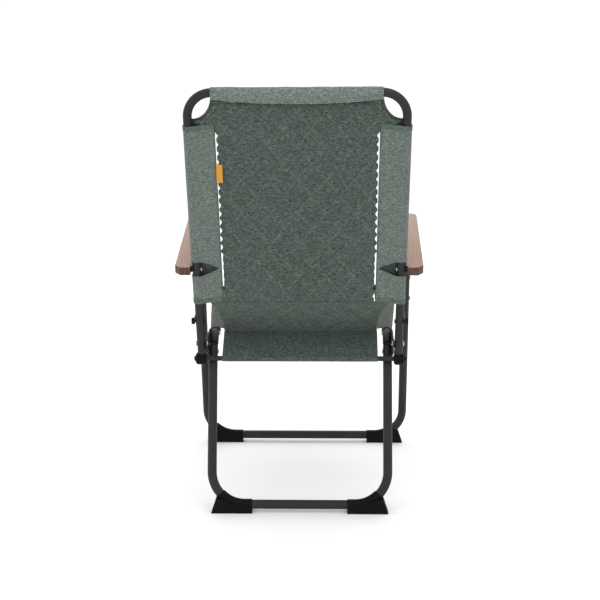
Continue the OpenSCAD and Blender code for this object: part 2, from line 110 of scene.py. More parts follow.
seat_low, seat_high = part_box("seat_frame")
INNER_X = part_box("rear_leg_frame")[1].x - LEG_R
SEAT_FRONT = Vector((0, seat_low.y + LEG_R, seat_high.z - LEG_R))
SEAT_DIR = (SEAT_FRONT - Vector((0, FRONT_PIVOT.y, FRONT_PIVOT.z))).normalized()
SEAT_UP = Vector((0, SEAT_DIR.z, -SEAT_DIR.y))
SEAT_ORIGIN = SEAT_FRONT - SEAT_LEN * SEAT_DIR
FRONT_PIVOT_T = (FRONT_PIVOT - SEAT_ORIGIN).dot(SEAT_DIR)


def on_back(x, s, n=0.0):
    """Point on the back: x across, s up along the tubes from their pivot, n towards the rear."""
    return Vector((x, 0, 0)) + PIVOT + s * LEAN + n * REARWARD


def back_x(s):
    """Half spacing of the back tubes at s."""
    return BACK_LOW_X + BACK_SPREAD * s / BACK_LEN


def rail_x(t):
    """Half spacing of the seat rails at t."""
    return INNER_X + RAIL_SPREAD * max(0.0, t - RAIL_KINK_T) / (SEAT_LEN - RAIL_KINK_T)


def on_seat(x, t, n=0.0):
    """Point on the seat: x across, t forward from the rear of the rails, n up."""
    return Vector((x, 0, 0)) + SEAT_ORIGIN + t * SEAT_DIR + n * SEAT_UP


# --- Materials ----------------------------------------------------------------------


class Nodes:
    """Short calls for building a node tree."""

    def __init__(self, name):
        self.material = bpy.data.materials.new(name)
        self.material.use_nodes = True
        self.tree = self.material.node_tree
        self.shader = self.tree.nodes["Principled BSDF"]

    def add(self, kind, **values):
        node = self.tree.nodes.new(kind)
        for key, value in values.items():
            if hasattr(node, key):
                setattr(node, key, value)
            else:
                node.inputs[key.replace("_", " ")].default_value = value
        return node

    def link(self, source, target):
        self.tree.links.new(source, target)
        return target.node

    def place(self, rotation=(0, 0, 0), scale=(1, 1, 1)):
        """Object coordinates in metres, turned and stretched."""
        coords = self.add("ShaderNodeTexCoord")
        mapping = self.add("ShaderNodeMapping")
        mapping.inputs["Rotation"].default_value = rotation
        mapping.inputs["Scale"].default_value = scale
        self.link(coords.outputs["Object"], mapping.inputs["Vector"])
        return mapping.outputs["Vector"]

    def noise(self, vector, scale, detail=3.0, rough=0.55):
        node = self.add("ShaderNodeTexNoise", Scale=scale, Detail=detail, Roughness=rough)
        self.link(vector, node.inputs["Vector"])
        return node.outputs["Fac"]

    def wave(self, vector, scale, direction, distortion=0.0):
        node = self.add("ShaderNodeTexWave", Scale=scale, Distortion=distortion)
        node.bands_direction = direction
        self.link(vector, node.inputs["Vector"])
        return node.outputs["Fac"]

    def math(self, operation, a, b):
        node = self.add("ShaderNodeMath", operation=operation)
        for socket, value in zip(node.inputs, (a, b)):
            if isinstance(value, (int, float)):
                socket.default_value = value
            else:
                self.link(value, socket)
        return node.outputs[0]

    def ramp(self, factor, stops):
        node = self.add("ShaderNodeValToRGB")
        elements = node.color_ramp.elements
        while len(elements) < len(stops):
            elements.new(0.5)
        for element, (position, colour) in zip(elements, stops):
            element.position = position
            element.color = (*colour, 1)
        self.link(factor, node.inputs["Fac"])
        return node.outputs["Color"]

    def mix(self, factor, a, b, blend="MIX"):
        node = self.add("ShaderNodeMix", data_type="RGBA", blend_type=blend)
        colours = [s for s in node.inputs if s.type == "RGBA"]
        for socket, value in zip([node.inputs[0], *colours], (factor, a, b)):
            if isinstance(value, (int, float)):
                socket.default_value = value
            elif isinstance(value, tuple):
                socket.default_value = (*value, 1)
            else:
                self.link(value, socket)
        return next(s for s in node.outputs if s.type == "RGBA")

    def sewn_line_highlight(self, origin, along):
        """Painted highlight: a factor that is lighter close to the sewn diamond lines, standing in for the
        light the cloth catches beside each line.
        """
        coords = self.add("ShaderNodeTexCoord").outputs["Object"]
        nearest = None
        for sign in (1, -1):
            across = self.add("ShaderNodeVectorMath", operation="DOT_PRODUCT")
            self.link(coords, across.inputs[0])
            step = Vector((1 / QUILT_W, 0, 0)) + along * (sign / QUILT_H)
            across.inputs[1].default_value = step
            line = self.math("SUBTRACT", across.outputs["Value"], step.dot(origin) - 0.5)
            away = self.math("PINGPONG", line, 0.5)
            nearest = away if nearest is None else self.math("MINIMUM", nearest, away)
        # painted highlight: up to 1.3 times lighter right on a sewn line, fading out a little way off it
        return self.ramp(nearest, [
            (0.0, (1.30, 1.30, 1.30)),
            (0.03, (1.12, 1.12, 1.12)),
            (0.08, (1.0, 1.0, 1.0)),
        ])

    def finish(self, colour, roughness, height=None, depth=0.0, strength=1.0):
        """Colour, roughness range over a factor, and bump with a depth in metres."""
        self.link(colour, self.shader.inputs["Base Color"])
        if isinstance(roughness, (int, float)):
            self.shader.inputs["Roughness"].default_value = roughness
        else:
            self.link(roughness, self.shader.inputs["Roughness"])
        if height is not None:
            bump = self.add("ShaderNodeBump", Distance=depth, Strength=strength)
            self.link(height, bump.inputs["Height"])
            self.link(bump.outputs["Normal"], self.shader.inputs["Normal"])
        return self.material

    def between(self, factor, low, high):
        node = self.add("ShaderNodeMapRange", To_Min=low, To_Max=high)
        self.link(factor, node.inputs["Value"])
        return node.outputs["Result"]


def scaled(colour, factor):
    return tuple(min(1.0, c * factor) for c in colour)


def woven(name, colour, turn, contrast=0.6, thread=1.5 * MM, sheen=0.15, sewn=None):
    """Heathered plain weave. turn rotates the weave about X so that it lies along the cloth.

    sewn is (origin, along) for cloth with diamond quilting: a crossing's place and the way up the cloth. With
    it, a painted highlight is laid along the sewn lines.
    """
    n = Nodes(name)
    flat = n.place((turn, 0, 0))
    warp = n.noise(n.place((turn, 0, 0), (1, 0.4, 1)), 300, 1)
    weft = n.noise(n.place((turn, 0, 0), (0.4, 1, 1)), 300, 1)
    slub = n.math("ADD", n.math("MULTIPLY", warp, 0.5), n.math("MULTIPLY", weft, 0.5))
    cloud = n.noise(flat, 9, 3)
    grain = n.noise(flat, 230, 5, 0.75)
    heather = n.math("ADD", n.math("MULTIPLY", slub, 0.6), n.math("MULTIPLY", grain, 0.4))
    tone = n.ramp(heather, [
        (0.38, scaled(colour, 1 - contrast)),
        (0.50, scaled(colour, 0.98)),
        (0.62, scaled(colour, 1 + 1.3 * contrast)),
    ])
    tint = n.ramp(cloud, [(0.3, (0.95, 0.96, 0.94)), (0.7, (1.0, 1.0, 1.0))])
    colour_out = n.mix(1.0, tone, tint, "MULTIPLY")
    # painted highlight along the sewn quilting lines, multiplied into the cloth colour
    if sewn:
        colour_out = n.mix(1.0, colour_out, n.sewn_line_highlight(*sewn), "MULTIPLY")
    threads = 0.5 / thread
    grid = n.math("MULTIPLY", n.wave(flat, threads, "X"), n.wave(flat, threads, "Y"))
    height = n.math("ADD", grid, n.math("MULTIPLY", slub, 0.8))
    n.shader.inputs["Sheen Weight"].default_value = sheen
    n.shader.inputs["Sheen Roughness"].default_value = 0.5
    n.shader.inputs["Sheen Tint"].default_value = (0.85, 0.95, 0.88, 1)
    n.shader.inputs["Specular IOR Level"].default_value = 0.15
    return n.finish(colour_out, n.between(grain, 0.75, 0.95), height, 0.4 * MM, 0.6)


def webbing(name, colour, rib=1.1 * MM):
    """Ribbed binding tape."""
    n = Nodes(name)
    flat = n.place()
    grain = n.noise(flat, 500, 3)
    tone = n.ramp(grain, [(0.35, scaled(colour, 0.75)), (0.65, scaled(colour, 1.2))])
    ribs = n.wave(flat, 0.5 / rib, "DIAGONAL")
    n.shader.inputs["Sheen Weight"].default_value = 0.2
    return n.finish(tone, 0.8, ribs, 0.3 * MM, 0.6)


def powder_coat():
    n = Nodes("tube_powder_coat")
    flat = n.place()
    fine = n.noise(flat, 1400, 2)
    blotch = n.noise(flat, 14, 4)
    scuff = n.noise(n.place(scale=(1, 1, 0.08)), 160, 5, 0.75)
    base = n.ramp(blotch, [(0.35, (0.011, 0.011, 0.012)), (0.7, (0.017, 0.017, 0.018))])
    worn = n.ramp(scuff, [(0.66, (0, 0, 0)), (0.74, (1, 1, 1))])
    colour = n.mix(n.math("MULTIPLY", worn, 0.3), base, (0.045, 0.046, 0.047))
    n.shader.inputs["Specular IOR Level"].default_value = 0.3
    return n.finish(colour, n.between(scuff, 0.42, 0.6), fine, 0.12 * MM, 0.5)


def moulded_plastic():
    n = Nodes("black_moulded_plastic")
    flat = n.place()
    leather = n.noise(flat, 900, 3, 0.7)
    dust = n.noise(flat, 22, 5, 0.7)
    colour = n.ramp(dust, [(0.4, (0.0025, 0.0025, 0.0026)), (0.75, (0.005, 0.005, 0.005))])
    n.shader.inputs["Specular IOR Level"].default_value = 0.1
    return n.finish(colour, n.between(leather, 0.42, 0.62), leather, 0.2 * MM, 0.45)


def zinc_steel():
    n = Nodes("zinc_bolt_steel")
    turned = n.noise(n.place(scale=(0.15, 1, 1)), 900, 3)
    patch = n.noise(n.place(), 120, 3)
    colour = n.ramp(patch, [(0.35, (0.36, 0.36, 0.36)), (0.7, (0.52, 0.52, 0.50))])
    n.shader.inputs["Metallic"].default_value = 0.9
    return n.finish(colour, n.between(turned, 0.22, 0.42), turned, 0.05 * MM, 0.4)


def armrest_wood(slope):
    """Lacquered hardwood with its grain along the board, which slopes by this angle."""
    n = Nodes("lacquered_wood")
    long_grain = n.place((slope, 0, 0), (1, 0.045, 1))
    fibre = n.place((slope, 0, 0), (1, 0.02, 1))
    figure = n.noise(long_grain, 95, 4, 0.6)
    rings = n.wave(long_grain, 42, "X", 7.0)
    pores = n.noise(fibre, 1500, 2, 0.6)
    streak = n.math("ADD", n.math("MULTIPLY", rings, 0.35), n.math("MULTIPLY", figure, 0.75))
    # painted shade: darker wood for the edges and the end face
    shade_painted_wood = n.ramp(streak, [
        (0.30, (0.045, 0.020, 0.012)),
        (0.52, (0.068, 0.032, 0.020)),
        (0.75, (0.095, 0.048, 0.031)),
    ])
    # painted reflection: paler wood for the upper face
    reflection_painted_wood = n.ramp(streak, [
        (0.30, (0.252, 0.142, 0.100)),
        (0.52, (0.292, 0.171, 0.122)),
        (0.75, (0.335, 0.203, 0.150)),
    ])
    # painted light: the upper face is painted paler as a painted reflection of the bright surroundings, and
    # the edges and end face are painted darker as painted shade
    facing = n.add("ShaderNodeSeparateXYZ")
    n.link(n.add("ShaderNodeTexCoord").outputs["Normal"], facing.inputs[0])
    upper = n.ramp(facing.outputs["Z"], [(0.45, (0, 0, 0)), (0.85, (1, 1, 1))])
    tone = n.mix(upper, shade_painted_wood, reflection_painted_wood)
    pore_lines = n.ramp(pores, [(0.30, (0.55, 0.5, 0.48)), (0.46, (1, 1, 1))])
    colour = n.mix(1.0, tone, pore_lines, "MULTIPLY")
    n.shader.inputs["Specular IOR Level"].default_value = 0.3
    n.shader.inputs["Coat Weight"].default_value = 0.15
    n.shader.inputs["Coat Roughness"].default_value = 0.3
    return n.finish(colour, n.between(figure, 0.38, 0.55), pores, 0.12 * MM, 0.4)


def floor_paper():
    n = Nodes("studio_paper")
    soft = n.noise(n.place(), 1.5, 2)
    colour = n.ramp(soft, [(0.3, (0.97, 0.97, 0.97)), (0.7, (0.985, 0.985, 0.985))])
    return n.finish(colour, 0.9)


BACK_TURN = -math.atan2(LEAN.z, LEAN.y)
SEAT_TURN = math.atan2(SEAT_DIR.z, -SEAT_DIR.y)
GREEN = (0.066, 0.083, 0.073)
LIGHT_GREEN = (0.128, 0.152, 0.137)
BAND_HEM_GREEN = (0.092, 0.128, 0.103)
# seat bands: the same cloth as the back's bands, given a greyer, warmer tone; the grey is painted sheen of
# grazing light on the seat's upper face
SEAT_BAND_SHEEN_GREEN = (0.088, 0.094, 0.078)
TAPE_GREEN = (0.050, 0.098, 0.070)
THREAD_GREEN = (0.105, 0.140, 0.120)
# quilting thread: partly its own colour, partly made lighter as a painted highlight of the light caught along
# the sewn lines
QUILT_THREAD_HIGHLIGHT_GREEN = (0.095, 0.122, 0.106)
LABEL_AMBER = (0.62, 0.29, 0.022)
BAND_CONTRAST = 0.42
THREAD_RIB = 0.5 * MM
ARMREST_SLOPE = math.radians(9.4)
BACK_CROSSING = on_back(0, BACK_QUILT_S + QUILT_H / 2)
SEAT_CROSSING = on_seat(0, SEAT_QUILT_T + QUILT_H / 2)
plain_cloth = woven("plain_melange", GREEN, BACK_TURN)
panel_cloth = woven("panel_melange", GREEN, BACK_TURN, sewn=(BACK_CROSSING, LEAN))
band_cloth = woven("band_melange", LIGHT_GREEN, BACK_TURN, BAND_CONTRAST)
band_hem_cloth = woven("band_hem_melange", BAND_HEM_GREEN, BACK_TURN, BAND_CONTRAST)
hem_cloth = woven("hem_melange", scaled(LIGHT_GREEN, 1.2), BACK_TURN, 0.5)
seat_cloth = woven("seat_melange", GREEN, SEAT_TURN, sewn=(SEAT_CROSSING, SEAT_DIR))
seat_band_sheen_cloth = woven("seat_band_melange", SEAT_BAND_SHEEN_GREEN, SEAT_TURN, BAND_CONTRAST)
binding_tape = webbing("binding_tape", TAPE_GREEN)
thread_light = webbing("sewing_thread", THREAD_GREEN, THREAD_RIB)
quilting_thread = webbing("quilting_thread", QUILT_THREAD_HIGHLIGHT_GREEN, THREAD_RIB)
label_cloth = webbing("label_webbing", LABEL_AMBER, 0.8 * MM)
steel_paint = powder_coat()
plastic = moulded_plastic()
bolt_metal = zinc_steel()
wood = armrest_wood(ARMREST_SLOPE)

# --- Mesh helpers -------------------------------------------------------------------


WELD = 0.02 * MM  # points of neighbouring grids closer than this are one


def add_mesh(name, verts, faces, material, weld=0.0):
    mesh = bpy.data.meshes.new(name)
    mesh.from_pydata([tuple(v) for v in verts], [], faces)
    work = bmesh.new()
    work.from_mesh(mesh)
    if weld:
        bmesh.ops.remove_doubles(work, verts=work.verts, dist=weld)
    bmesh.ops.recalc_face_normals(work, faces=work.faces)
    work.to_mesh(mesh)
    work.free()
    obj = bpy.data.objects.new(name, mesh)
    bpy.context.scene.collection.objects.link(obj)
    mesh.materials.append(material)
    for polygon in mesh.polygons:
        polygon.use_smooth = True
    return obj


def apply_modifiers(obj):
    depsgraph = bpy.context.evaluated_depsgraph_get()
    obj.data = bpy.data.meshes.new_from_object(obj.evaluated_get(depsgraph))
    obj.modifiers.clear()
    return obj


def modified(obj, kind, **values):
    modifier = obj.modifiers.new(kind.lower(), kind)
    for key, value in values.items():
        setattr(modifier, key, value)
    return modifier


class Patch:
    """Quads over one or more grids of points."""

    def __init__(self):
        self.verts = []
        self.faces = []

    def grid(self, surface, rows, cols):
        """surface(u, v) with u and v from 0 to 1."""
        start = len(self.verts)
        for i in range(rows + 1):
            for j in range(cols + 1):
                self.verts.append(surface(i / rows, j / cols))
        width = cols + 1
        for i in range(rows):
            for j in range(cols):
                a = start + i * width + j
                self.faces.append((a, a + 1, a + width + 1, a + width))
        return self

    def cloth(self, name, material, thickness=CLOTH):
        """Closed sheet of this thickness round the grids, with soft edges."""
        obj = add_mesh(name, self.verts, self.faces, material, weld=WELD)
        modified(obj, "SOLIDIFY", thickness=thickness, offset=0.0, use_even_offset=True)
        return apply_modifiers(obj)


def lerp(a, b, t):
    return a + (b - a) * t


def ripple(point, scale, amount):
    """Soft unevenness of hanging cloth, the same on each run."""
    return amount * noise.noise(Vector(point) * scale)


def sweep(name, path, width, height, ups, material, sides=8):
    """Flattened cord along a path: width across, height along each up vector."""
    verts = []
    faces = []
    last = len(path) - 1
    for i, point in enumerate(path):
        forward = (path[min(i + 1, last)] - path[max(i - 1, 0)]).normalized()
        up = (ups[i] - ups[i].dot(forward) * forward).normalized()
        side = forward.cross(up)
        for k in range(sides):
            a = 2 * math.pi * k / sides
            verts.append(point + side * (width / 2 * math.cos(a)) + up * (height / 2 * math.sin(a)))
    for i in range(last):
        for k in range(sides):
            a = i * sides + k
            b = i * sides + (k + 1) % sides
            faces.append((a, b, b + sides, a + sides))
    faces.append(tuple(range(sides)))
    faces.append(tuple(last * sides + k for k in range(sides)))
    return add_mesh(name, verts, faces, material)


STITCH_LEN = 3.0 * MM
STITCH_PITCH = 4.2 * MM
STITCH_R = 0.42 * MM


def stitches(name, rows, material):
    """rows are lists of (point, normal) along the sewn lines; one mesh of separate stitches."""
    verts = []
    faces = []
    for row in rows:
        points = [p for p, _ in row]
        normals = [n for _, n in row]
        lengths = np.concatenate([[0], np.cumsum([(b - a).length for a, b in zip(points, points[1:])])])
        for k in range(int((lengths[-1] - STITCH_LEN) / STITCH_PITCH) + 1):
            middle = k * STITCH_PITCH + STITCH_LEN / 2
            i = min(int(np.searchsorted(lengths, middle)), len(points) - 1)
            i = max(i, 1)
            share = (middle - lengths[i - 1]) / max(lengths[i] - lengths[i - 1], 1e-9)
            centre = points[i - 1].lerp(points[i], float(share))
            along = (points[i] - points[i - 1]).normalized()
            up = normals[i]
            side = along.cross(up).normalized()
            start = len(verts)
            verts.append(centre - along * STITCH_LEN / 2)
            for shift in (-0.3, 0.3):
                for c, s in ((1, 0), (0, 1), (-1, 0), (0, -1)):
                    verts.append(centre + along * (shift * STITCH_LEN) + (side * c + up * s) * STITCH_R)
            verts.append(centre + along * STITCH_LEN / 2)
            for q in range(4):
                r = (q + 1) % 4
                faces.append((start, start + 1 + r, start + 1 + q))
                faces.append((start + 1 + q, start + 1 + r, start + 5 + r, start + 5 + q))
                faces.append((start + 5 + q, start + 5 + r, start + 9))
    return add_mesh(name, verts, faces, material)


# --- Camera, floor and light --------------------------------------------------------

IMAGE_PX = 600
LENS_PX = 1363.2  # focal length in pixels, for an image of this many across
CAMERA_AT = Vector((-0.0848, 3.3253, 1.1890))
PITCH = math.radians(12.21)  # downward
YAW = math.radians(1.519)  # towards +X
ROLL = math.radians(-0.261)
WORLD_STRENGTH = 1.08
FLOOR_HALF = 9
LAMPS = (  # name, place, target, size, power in watts
    ("key", (-1.6, 2.6, 3.0), (0, 0, 0.5), (2.2, 2.2), 14),
    ("fill", (2.4, 2.2, 1.8), (0, 0, 0.5), (2.0, 2.0), 8),
    ("top", (0, -0.6, 3.4), (0, 0, 0.4), (3.0, 3.0), 22),
    ("front", (0.5, -3.4, 2.0), (0, 0, 0.5), (2.6, 2.0), 10),
)


def add_camera():
    data = bpy.data.cameras.new("camera")
    data.sensor_width = 36.0
    data.lens = LENS_PX * data.sensor_width / IMAGE_PX
    data.clip_end = 50
    camera = bpy.data.objects.new("camera", data)
    forward = Vector((
        math.sin(YAW) * math.cos(PITCH), -math.cos(YAW) * math.cos(PITCH), -math.sin(PITCH)
    ))
    right = forward.cross(Vector((0, 0, 1))).normalized()
    up = right.cross(forward)
    turned = right * math.cos(ROLL) + up * math.sin(ROLL)
    up = up * math.cos(ROLL) - right * math.sin(ROLL)
    camera.matrix_world = Matrix.Translation(CAMERA_AT) @ Matrix((turned, up, -forward)).transposed().to_4x4()
    bpy.context.scene.collection.objects.link(camera)
    bpy.context.scene.camera = camera


def add_area(name, place, target, size, power):
    data = bpy.data.lights.new(name, "AREA")
    data.shape = "RECTANGLE"
    data.size, data.size_y = size
    data.energy = power
    lamp = bpy.data.objects.new(name, data)
    lamp.location = place
    lamp.rotation_euler = (Vector(target) - Vector(place)).to_track_quat("-Z", "Y").to_euler()
    bpy.context.scene.collection.objects.link(lamp)


def add_studio():
    corners = [(x * FLOOR_HALF, y * FLOOR_HALF, 0) for x, y in ((-1, -1), (1, -1), (1, 1), (-1, 1))]
    floor = add_mesh("floor", corners, [(0, 1, 2, 3)], floor_paper())
    floor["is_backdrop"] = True
    world = bpy.data.worlds.new("studio")
    world.use_nodes = True
    world.node_tree.nodes["Background"].inputs["Color"].default_value = (1, 1, 1, 1)
    world.node_tree.nodes["Background"].inputs["Strength"].default_value = WORLD_STRENGTH
    bpy.context.scene.world = world
    bpy.context.scene.view_settings.view_transform = "Standard"
    for lamp in LAMPS:
        add_area(*lamp)


add_camera()
add_studio()

# --- Quilted pads -------------------------------------------------------------------

QUILT_DEPTH = 1.8 * MM
QUILT_SOFT = 4.0 * MM  # how quickly the padding rises from a sewn line
SEWN_EDGE = 7 * MM  # width of the border that is sewn down
EDGE_HALF = 1.1 * MM  # half thickness of the cloth at the outer edge
PAD_THICK = 8 * MM
PAD_STEP = 5 * MM  # size of a pad's quads along it, and of the remesh
PAD_COLS = 74
PUFF_CAP = 3 * MM  # furthest that the pressure may move a point
PUFF_FRAMES = 20
ROW_STEPS = 140  # points looked up along a line of quilting
ROW_INSET = 3 * MM  # quilting ends this far from the edge
THREAD_RISE = 0.15 * MM  # height of the quilting thread's middle above the cloth


def quilt(x, s):
    """Height of the padding between the sewn diamond lines, from 0 on a line to 1."""
    slope = math.hypot(1 / QUILT_W, 1 / QUILT_H)
    height = 1.0
    for sign in (1, -1):
        line = x / QUILT_W - 0.5 + sign * s / QUILT_H
        away = abs(line - round(line)) / slope
        height *= 1 - math.exp(-away / QUILT_SOFT)
    return height


def inset_of(half, x, s, s0, s1):
    """Distance of a point of a pad from its sewn edge; half(s) is the pad's half width."""
    return min(half(s) - abs(x), s - s0, s1 - s)


def pad_slab(name, place, half, s0, s1, thick, material):
    """Closed flat slab, thin at its sewn edges: place(x, s, n) sets its plane."""
    patch = Patch()
    rows = int((s1 - s0) / PAD_STEP)

    def skin(side):
        def surface(u, v):
            s = lerp(s0, s1, u)
            x = lerp(-half(s), half(s), v)
            inset = max(0.0, inset_of(half, x, s, s0, s1))
            round_off = 1 - (1 - min(1.0, inset / (3 * SEWN_EDGE))) ** 2
            return place(x, s, side * (EDGE_HALF + (thick / 2 - EDGE_HALF) * round_off))
        return surface

    for side in (1, -1):
        patch.grid(skin(side), rows, PAD_COLS)
    for end in (s0, s1):
        patch.grid(lambda a, v, s=end: place(
            lerp(-half(s), half(s), v), s, lerp(-EDGE_HALF, EDGE_HALF, a)), 1, PAD_COLS)
    for side in (1, -1):
        patch.grid(lambda u, a, side=side: place(
            side * half(lerp(s0, s1, u)), lerp(s0, s1, u), lerp(-EDGE_HALF, EDGE_HALF, a)), rows, 1)
    return add_mesh(name, patch.verts, patch.faces, material, weld=WELD)


def puff(obj, local, half, s0, s1):
    """Cloth under pressure, with the sewn border held; local(point) gives x, s and n of a point."""
    modified(obj, "REMESH", mode="VOXEL", voxel_size=PAD_STEP)
    apply_modifiers(obj)
    before = [v.co.copy() for v in obj.data.vertices]
    held = obj.vertex_groups.new(name="held")
    for v in obj.data.vertices:
        x, s, _ = local(v.co)
        if inset_of(half, x, s, s0, s1) < SEWN_EDGE:
            held.add([v.index], 1.0, "REPLACE")
    cloth = modified(obj, "CLOTH")
    cloth.settings.use_pressure = True
    cloth.settings.uniform_pressure_force = 4
    cloth.settings.vertex_group_mass = "held"
    cloth.settings.effector_weights.gravity = 0
    scene = bpy.context.scene
    for step in range(1, PUFF_FRAMES + 1):
        scene.frame_set(step)
    depsgraph = bpy.context.evaluated_depsgraph_get()
    mesh = bpy.data.meshes.new_from_object(obj.evaluated_get(depsgraph))
    obj.modifiers.clear()
    for v, old in zip(mesh.vertices, before):
        move = v.co - old
        if move.length > PUFF_CAP:
            v.co = old + move.normalized() * PUFF_CAP
    obj.data = mesh
    scene.frame_set(1)


def quilting_rows(pad, place, half, s0, s1, origin):
    """Sewn diamond lines laid on the pad's upper side."""
    skin = BVHTree.FromPolygons([v.co for v in pad.data.vertices], [p.vertices for p in pad.data.polygons])
    rows = []
    reach = int(2 * half(s1) / QUILT_W + (s1 - s0) / QUILT_H) + 3
    for sign in (1, -1):
        for k in range(-reach, reach + 1):
            row = []
            for i in range(ROW_STEPS + 1):
                s = lerp(s0, s1, i / ROW_STEPS)
                x = (k + 0.5 - sign * (s - origin) / QUILT_H) * QUILT_W
                if inset_of(half, x, s, s0, s1) < ROW_INSET:
                    continue
                start = place(x, s, 30 * MM)
                down = (place(x, s, 0) - start).normalized()
                hit, normal, _, _ = skin.ray_cast(start, down)
                if hit:
                    row.append((hit - down * THREAD_RISE, -down))
            if len(row) > 4:
                rows.append(row)
    return rows


def quilted_pad(name, place, local, half, s0, s1, thick, material, origin):
    pad = pad_slab(name, place, half, s0, s1, thick, material)
    puff(pad, local, half, s0, s1)
    pad.vertex_groups.clear()
    modified(pad, "SUBSURF", levels=1)
    apply_modifiers(pad)
    up = (place(0, s0, 1) - place(0, s0, 0)).normalized()
    for v in pad.data.vertices:
        x, s, n = local(v.co)
        fade = max(0.0, min(1.0, (inset_of(half, x, s, s0, s1) - 2 * MM) / SEWN_EDGE))
        dip = QUILT_DEPTH * (1 - quilt(x, s - origin)) * fade
        v.co -= up * math.copysign(min(dip, 0.6 * abs(n)), n)
    for polygon in pad.data.polygons:
        polygon.use_smooth = True
    rows = quilting_rows(pad, place, half, s0, s1, origin)
    return pad, stitches(name + "_stitching", rows, quilting_thread)


def back_local(point):
    rel = point - PIVOT
    return point.x, rel.dot(LEAN), rel.dot(REARWARD)


def seat_local(point):
    rel = point - SEAT_ORIGIN
    return point.x, rel.dot(SEAT_DIR), rel.dot(SEAT_UP)


BAND_LOW = 110 * MM  # lower end of the side bands, up from the pivot
BAND_TOP = 547 * MM
PAD_TOP = BACK_LEN - 20 * MM
CUT_X = 45 * MM  # concave corner below the top bar's bend
CUT_S = 56 * MM
CUT_LOW = BACK_LEN - 8 * MM - CUT_S


def back_half(s):
    """Half width of the back's panel: to the seams, and above the bands out to the corners' edges."""
    seam = back_x(s) - STRIP_W - 1 * MM
    if s <= BAND_TOP - 14 * MM:
        return seam
    if s < CUT_LOW - 8 * MM:
        return lerp(seam, HEM_X + CUT_X - 3 * MM, (s - BAND_TOP + 14 * MM) / (CUT_LOW - BAND_TOP + 6 * MM))
    rise = min(1.0, max(0.0, (s - CUT_LOW) / CUT_S))
    return HEM_X - 3 * MM + CUT_X * (1 - math.sqrt(1 - (1 - rise) ** 2))


# The back's quilted panel
back_pad, back_quilting = quilted_pad(
    "back_panel_quilted", on_back, back_local, back_half, BAND_LOW, PAD_TOP, PAD_THICK, panel_cloth,
    BACK_QUILT_S
)
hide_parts("back_panel")
for piece in (back_pad, back_quilting):
    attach(piece, "back")

# The seat's quilted panel
PAD_REAR = 7 * MM
PAD_FRONT = SEAT_LEN - 17 * MM
SEAT_PAD_N = LEG_R - 1 * MM  # middle of the seat pad above the rails' centreline
SEAT_SAG = 5 * MM


def on_seat_pad(x, t, n=0.0):
    """Seat pad's middle surface, which sags between the rails."""
    share = 1 - (x / SEAT_SEAM_X) ** 2
    run = (t - PAD_REAR) / (PAD_FRONT - PAD_REAR)
    sag = SEAT_SAG * share * math.sin(math.pi * min(1.0, max(0.0, run)))
    return on_seat(x, t, SEAT_PAD_N - sag + n)


def seat_pad_local(point):
    x, t, _ = seat_local(point)
    return x, t, (point - on_seat_pad(x, t)).dot(SEAT_UP)


seat_pad, seat_quilting = quilted_pad(
    "seat_panel_quilted", on_seat_pad, seat_pad_local, lambda t: SEAT_SEAM_X - 1 * MM, PAD_REAR, PAD_FRONT,
    PAD_THICK, seat_cloth, SEAT_QUILT_T
)
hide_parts("seat_panel")
for piece in (seat_pad, seat_quilting):
    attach(piece, "seat")

# --- Side bands and front layer of the back ------------------------------------------

LOOP_R = BACK_R + GAP + CLOTH / 2
SEAM_N = 3.0 * MM  # height of the seam over the middle plane
BAND_BOW = 1.4 * MM  # how far the flat strip gives way between seam and tube
BAND_COLS = 44
SEAM_INSET = 2.5 * MM  # from a band's seam to the stitches beside it


def tangent_angle(seam_n):
    """Angle on the tube where a straight strip from the seam touches it, rear side."""
    return math.atan2(seam_n, -STRIP_W) - math.acos(LOOP_R / math.hypot(STRIP_W, seam_n))


TOUCH = tangent_angle(SEAM_N)
TOUCH_D = LOOP_R * math.cos(TOUCH)  # from the tube's centre line
TOUCH_N = LOOP_R * math.sin(TOUCH)
STRIP = math.hypot(TOUCH_D + STRIP_W, TOUCH_N - SEAM_N)
WRAP_END = math.radians(-100)
BAND_GIRTH = STRIP + LOOP_R * (TOUCH - WRAP_END)


def band_section(q, lift=0.0):
    """Place (d, n) of the band at girth q from the seam, d from the tube's centre, and its normal."""
    if q < STRIP:
        t = q / STRIP
        nx, nn = -(TOUCH_N - SEAM_N) / STRIP, (TOUCH_D + STRIP_W) / STRIP
        out = lift - BAND_BOW * math.sin(math.pi * t)
        return (lerp(-STRIP_W, TOUCH_D, t) + nx * out, lerp(SEAM_N, TOUCH_N, t) + nn * out), (nx, nn)
    a = TOUCH - (q - STRIP) / LOOP_R
    nx, nn = math.cos(a), math.sin(a)
    return ((LOOP_R + lift) * nx, (LOOP_R + lift) * nn), (nx, nn)


def band_point(side, q, s, lift=0.0):
    (d, n), (nx, nn) = band_section(q, lift)
    point = on_back(side * (back_x(s) + d), s, n)
    normal = (Vector((side * nx, 0, 0)) + nn * REARWARD).normalized()
    loose = 1.0 if q < STRIP else 0.35
    return point + normal * (abs(ripple(point, 22, 1.1 * MM)) * loose), normal


NOTCH_S = 199.5 * MM  # pointed notch at the armrest's bolt
NOTCH_H = 17.5 * MM
NOTCH_Q0 = 5 * MM  # girth of the notch's point
NOTCH_Q1 = 46 * MM
BAND_TOP_RISE = 4.5 * MM  # how much higher the band's ends are at the seam
BAND_LOW_RISE = 4.0 * MM
STITCH_LIFT = CLOTH / 2 + 0.25 * MM
HEM_STRIP = 11 * MM  # width of the hem folded over at a band's ends
HEM_FOLD = 0.7 * MM  # and the thickness of its fold


def notch_half(q):
    if q <= NOTCH_Q0:
        return 0.0
    return NOTCH_H * min(1.0, ((q - NOTCH_Q0) / (NOTCH_Q1 - NOTCH_Q0))) ** 0.8


